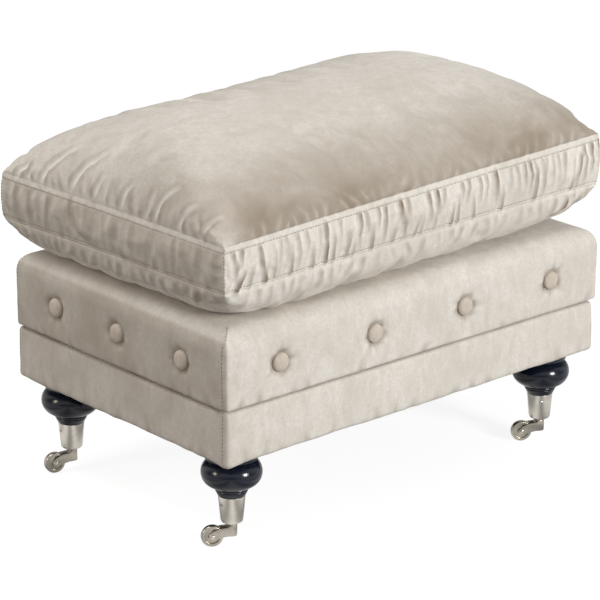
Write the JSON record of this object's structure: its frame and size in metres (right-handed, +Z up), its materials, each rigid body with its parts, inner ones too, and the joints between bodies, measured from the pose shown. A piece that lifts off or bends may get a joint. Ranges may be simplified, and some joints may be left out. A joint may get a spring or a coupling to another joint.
{
  "type": "storage ottoman",
  "caption": "Upholstered storage ottoman with a loose box cushion on a buttoned hinged lid, a plain box base, turned feet and swivelling cup castors.",
  "frame": {"origin": "on the floor, under the middle of the base box", "axes": "+X along the length to the right as seen from the front, +Y towards the hinge at the back, +Z up"},
  "size_m": [0.643, 0.4364, 0.4888],
  "materials": {
    "velvet": "champagne velvet with a short pile",
    "lacquered_wood": "turned and lacquered black, high gloss",
    "nickel": "satin nickel plate",
    "zinc_steel": "zinc plated",
    "softwood": "planed, unfinished",
    "plywood": "sanded, unfinished",
    "foam": "soft upholstery filling",
    "wadding": "soft polyester wadding",
    "lining": "woven lining, matt",
    "black_cloth": "nonwoven dust cloth, matt",
    "felt": "grey felt",
    "nylon_tape": "woven zip tape with moulded teeth"
  },
  "bodies": {
    "base": {"base_rail_front": "softwood", "base_rail_back": "softwood", "base_rail_left": "softwood", "base_rail_right": "softwood", "bottom_board": "plywood", "base_wadding": "wadding", "base_cover": "velvet", "base_lining": "lining", "dust_cloth": "black_cloth", "rim_felt": "felt", "hinge_base_leaf": "zinc_steel", "hinge_pin": "zinc_steel", "foot_front_left": "lacquered_wood", "foot_front_right": "lacquered_wood", "foot_back_left": "lacquered_wood", "foot_back_right": "lacquered_wood", "cup_front_left": "nickel", "cup_front_right": "nickel", "cup_back_left": "nickel", "cup_back_right": "nickel"},
    "swivel_front_left": {"horn_front_left": "nickel", "axle_front_left": "nickel"},
    "swivel_front_right": {"horn_front_right": "nickel", "axle_front_right": "nickel"},
    "swivel_back_left": {"horn_back_left": "nickel", "axle_back_left": "nickel"},
    "swivel_back_right": {"horn_back_right": "nickel", "axle_back_right": "nickel"},
    "roller_front_left": {"wheel_front_left": "nickel"},
    "roller_front_right": {"wheel_front_right": "nickel"},
    "roller_back_left": {"wheel_back_left": "nickel"},
    "roller_back_right": {"wheel_back_right": "nickel"},
    "lid": {"hinge_lid_leaf": "zinc_steel", "lid_rail_front": "softwood", "lid_rail_back": "softwood", "lid_rail_left": "softwood", "lid_rail_right": "softwood", "deck_board": "plywood", "deck_foam": "foam", "lid_side_foam": "foam", "lid_cover": "velvet", "lid_lining": "lining", "button_front_1": "velvet", "button_front_2": "velvet", "button_front_3": "velvet", "button_front_4": "velvet", "button_back_1": "velvet", "button_back_2": "velvet", "button_back_3": "velvet", "button_back_4": "velvet", "button_left_1": "velvet", "button_left_2": "velvet", "button_left_3": "velvet", "button_right_1": "velvet", "button_right_2": "velvet", "button_right_3": "velvet"},
    "cushion": {"cushion_case": "velvet", "cushion_pad": "foam", "cushion_zip": "nylon_tape"},
    "slider": {"zip_slider": "zinc_steel"}
  },
  "joints": [
    {"name": "lid_hinge", "type": "hinge", "parent": "base", "child": "lid", "pos_m": [0, 0.209, 0.19505], "axis": [-1, 0, 0], "range_deg": [0, 95]},
    {"name": "cushion_lift", "type": "slide", "parent": "lid", "child": "cushion", "axis": [0, 0, 1], "range_m": [0, 0.15]},
    {"name": "zip_slide", "type": "slide", "parent": "cushion", "child": "slider", "axis": [0.9998, 0.0209, 0], "range_m": [0, 0.38]},
    {"name": "swivel_front_left", "type": "hinge", "parent": "base", "child": "swivel_front_left", "pos_m": [-0.2625, -0.1595, 0], "axis": [0, 0, 1], "continuous": true},
    {"name": "swivel_front_right", "type": "hinge", "parent": "base", "child": "swivel_front_right", "pos_m": [0.2625, -0.1595, 0], "axis": [0, 0, 1], "continuous": true},
    {"name": "swivel_back_left", "type": "hinge", "parent": "base", "child": "swivel_back_left", "pos_m": [-0.2625, 0.1595, 0], "axis": [0, 0, 1], "continuous": true},
    {"name": "swivel_back_right", "type": "hinge", "parent": "base", "child": "swivel_back_right", "pos_m": [0.2625, 0.1595, 0], "axis": [0, 0, 1], "continuous": true},
    {"name": "roll_front_left", "type": "hinge", "parent": "swivel_front_left", "child": "roller_front_left", "pos_m": [-0.28288, -0.14627, 0.0135], "axis": [-0.5446, -0.8387, 0], "continuous": true},
    {"name": "roll_front_right", "type": "hinge", "parent": "swivel_front_right", "child": "roller_front_right", "pos_m": [0.24146, -0.14735, 0.0135], "axis": [-0.5, -0.866, 0], "continuous": true},
    {"name": "roll_back_left", "type": "hinge", "parent": "swivel_back_left", "child": "roller_back_left", "pos_m": [-0.28586, 0.1662, 0.0135], "axis": [-0.2756, -0.9613, 0], "continuous": true},
    {"name": "roll_back_right", "type": "hinge", "parent": "swivel_back_right", "child": "roller_back_right", "pos_m": [0.24066, 0.17015, 0.0135], "axis": [-0.4384, -0.8988, 0], "continuous": true}
  ]
}
